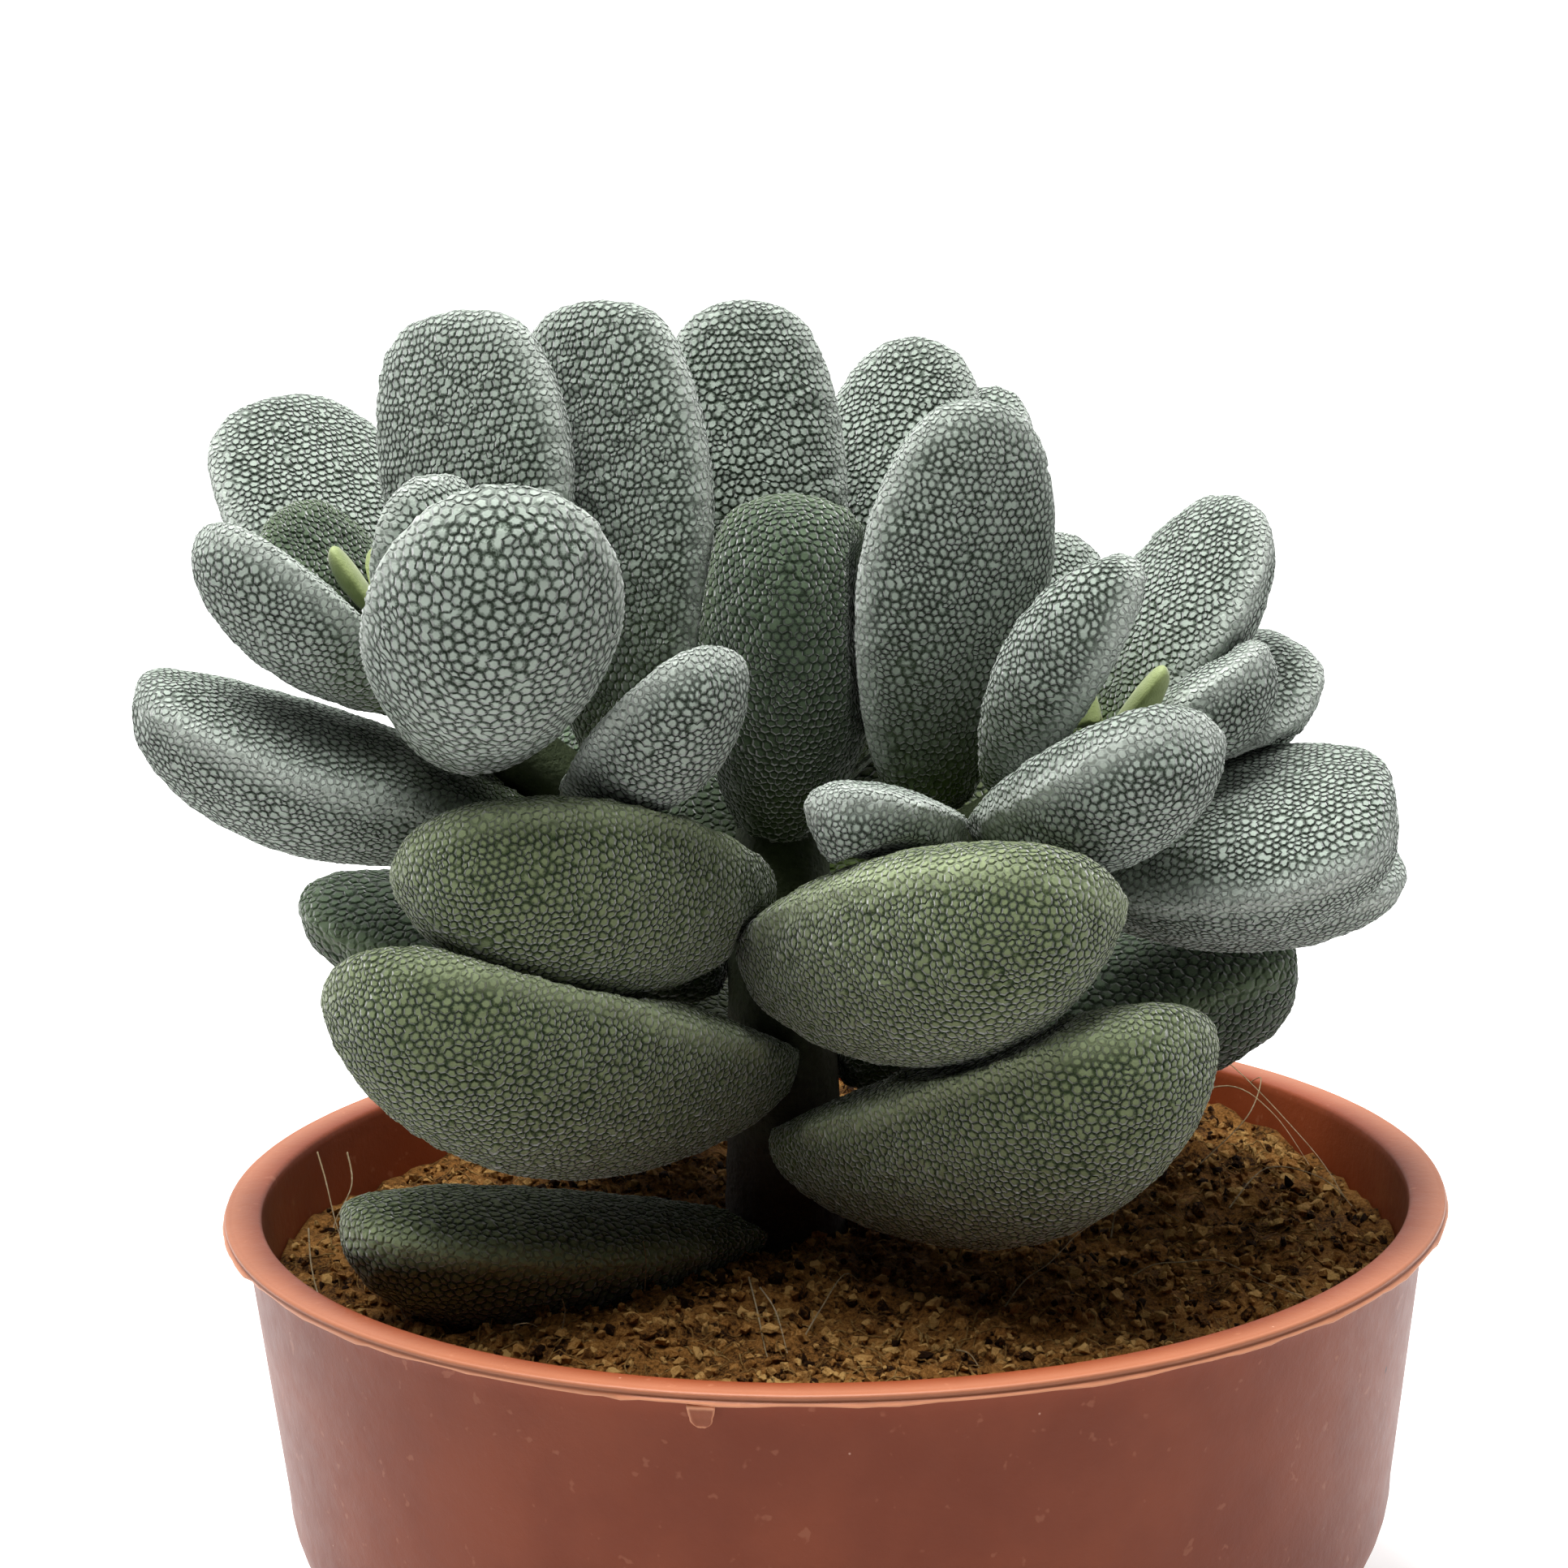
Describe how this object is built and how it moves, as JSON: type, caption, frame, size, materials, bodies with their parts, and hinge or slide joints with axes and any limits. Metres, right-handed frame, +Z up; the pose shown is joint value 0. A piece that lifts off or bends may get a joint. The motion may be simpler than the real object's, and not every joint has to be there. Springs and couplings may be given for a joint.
{
  "type": "potted crassula tecta",
  "caption": "Potted crassula tecta: plump grey-green pebbled leaves in crossed pairs on a short branched stem, rooted in coir in a shallow terracotta-coloured plastic pot.",
  "frame": {"origin": "centre of the pot's flat underside", "axes": "+Z up through the plant, -Y towards the front that the picture shows"},
  "size_m": [0.0574, 0.055, 0.0602],
  "materials": {
    "leaf": "matte, pebbled",
    "young_leaf": "smooth, satin",
    "stem": "rough",
    "coir": "loose, fibrous",
    "terracotta_plastic": "satin"
  },
  "bodies": {
    "root": {"pot": "terracotta_plastic", "soil": "coir", "left_stem": "stem", "main_stem": "stem", "right_stem": "stem", "crown_leaf_1": "leaf", "crown_leaf_2": "leaf", "crown_leaf_3": "leaf", "crown_leaf_4": "leaf", "crown_leaf_5": "leaf", "crown_leaf_6": "leaf", "crown_leaf_7": "young_leaf", "left_leaf_1": "leaf", "left_leaf_2": "leaf", "left_leaf_3": "leaf", "left_leaf_4": "leaf", "left_leaf_5": "leaf", "left_leaf_6": "leaf", "left_leaf_7": "leaf", "left_leaf_8": "leaf", "left_leaf_9": "leaf", "left_leaf_10": "young_leaf", "left_leaf_11": "young_leaf", "main_leaf_1": "leaf", "main_leaf_2": "leaf", "main_leaf_3": "leaf", "main_leaf_4": "leaf", "main_leaf_5": "leaf", "main_leaf_6": "leaf", "main_leaf_7": "leaf", "main_leaf_8": "leaf", "main_leaf_9": "leaf", "main_leaf_10": "leaf", "right_leaf_1": "leaf", "right_leaf_2": "leaf", "right_leaf_3": "leaf", "right_leaf_4": "leaf", "right_leaf_5": "leaf", "right_leaf_6": "leaf", "right_leaf_7": "leaf", "right_leaf_8": "leaf", "right_leaf_9": "leaf", "right_leaf_10": "leaf", "right_leaf_11": "young_leaf", "right_leaf_12": "young_leaf"}
  },
  "joints": []
}
